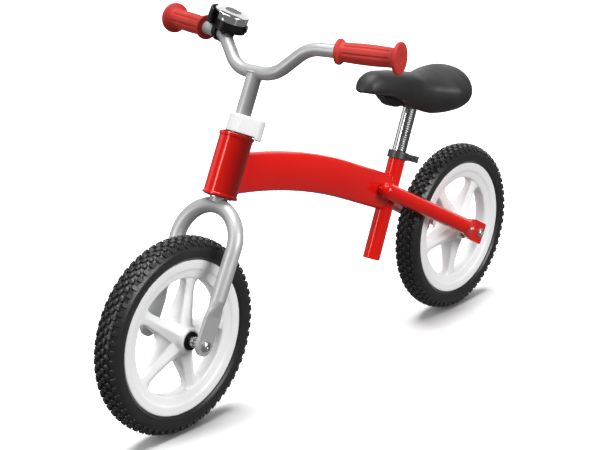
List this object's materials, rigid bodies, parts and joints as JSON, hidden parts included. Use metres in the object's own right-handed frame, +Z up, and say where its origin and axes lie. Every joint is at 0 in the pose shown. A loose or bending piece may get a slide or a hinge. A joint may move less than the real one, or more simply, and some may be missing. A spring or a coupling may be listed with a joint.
{
  "type": "balance bike",
  "caption": "Child's balance bike: curved oval beam frame, bent-tube fork, spoked moulded wheels with foam tyres, padded saddle and bar with bell, all height-adjustable.",
  "frame": {"origin": "on the ground, midway between the axles, in the bike's middle plane", "axes": "+X forward, +Y to the rider's left, +Z up"},
  "size_m": [0.9298, 0.427, 0.5587],
  "materials": {
    "red_paint": "gloss",
    "silver_paint": "satin",
    "black_plastic": "matte",
    "white_plastic": "semi-gloss",
    "black_foam": "matte",
    "red_rubber": "matte",
    "charcoal_cover": "matte",
    "black_paint": "satin",
    "grey_plastic": "matte",
    "chrome": "polished",
    "zinc_steel": "plated"
  },
  "bodies": {
    "frame": {"head_tube": "red_paint", "main_beam": "red_paint", "seat_tube": "red_paint", "chainstay_left": "red_paint", "chainstay_right": "red_paint", "headset_bush_upper": "black_plastic", "headset_bush_lower": "black_plastic", "seat_clamp": "black_paint", "seat_clamp_bolt": "black_paint", "seat_clamp_nut": "black_paint", "rear_axle_bolt": "zinc_steel", "rear_axle_sleeve": "zinc_steel", "rear_axle_nut": "zinc_steel", "rear_axle_washers": "zinc_steel", "rear_hub_spacers": "zinc_steel"},
    "fork": {"fork_blades": "silver_paint", "steerer_tube": "silver_paint", "crown_race": "zinc_steel", "thrust_washer": "zinc_steel", "stem_clamp": "zinc_steel", "stem_clamp_bolt": "zinc_steel", "stem_clamp_nut": "zinc_steel", "clamp_cover": "white_plastic", "front_axle_bolt": "zinc_steel", "front_axle_sleeve": "zinc_steel", "front_axle_nut": "zinc_steel", "front_axle_washers": "zinc_steel", "front_hub_spacers": "zinc_steel"},
    "handlebar": {"stem_tube": "silver_paint", "handlebar_tube": "silver_paint", "grip_left": "red_rubber", "grip_right": "red_rubber", "bell_base": "black_plastic", "bell_clamp_screw": "zinc_steel", "bell_post": "zinc_steel", "bell_dome": "chrome", "bell_dome_cap": "grey_plastic", "bell_lever_pin": "zinc_steel", "bell_lever_spring": "zinc_steel"},
    "bell_lever": {"bell_lever": "black_plastic", "bell_striker": "zinc_steel"},
    "front_wheel": {"front_rim": "white_plastic", "front_spokes": "white_plastic", "front_tyre": "black_foam", "front_hub_bushes": "black_plastic"},
    "rear_wheel": {"rear_rim": "white_plastic", "rear_spokes": "white_plastic", "rear_tyre": "black_foam", "rear_hub_bushes": "black_plastic"},
    "seat": {"seatpost": "chrome", "saddle_bracket": "zinc_steel", "saddle_base": "black_plastic", "saddle_cover": "charcoal_cover", "saddle_screws": "zinc_steel"}
  },
  "joints": [
    {"name": "steering", "type": "hinge", "parent": "frame", "child": "fork", "pos_m": [0.23861, 0, 0.3182], "axis": [-0.4099, 0, 0.9121], "range_deg": [-60, 60]},
    {"name": "handlebar_height", "type": "slide", "parent": "fork", "child": "handlebar", "axis": [-0.4099, 0, 0.9121], "range_m": [-0.03, 0.035]},
    {"name": "bell_ring", "type": "hinge", "parent": "handlebar", "child": "bell_lever", "pos_m": [0.12687, -0.06305, 0.52704], "axis": [0.166, -0.3019, -0.9388], "range_deg": [0, 12], "stiffness_Nm_per_rad": 0.05, "springref_deg": -5.73},
    {"name": "front_wheel_spin", "type": "hinge", "parent": "fork", "child": "front_wheel", "pos_m": [0.325, 0, 0.14], "axis": [0, 1, 0], "continuous": true},
    {"name": "rear_wheel_spin", "type": "hinge", "parent": "frame", "child": "rear_wheel", "pos_m": [-0.325, 0, 0.14], "axis": [0, 1, 0], "continuous": true},
    {"name": "seat_height", "type": "slide", "parent": "frame", "child": "seat", "axis": [-0.3649, 0, 0.9311], "range_m": [-0.045, 0.03]}
  ]
}
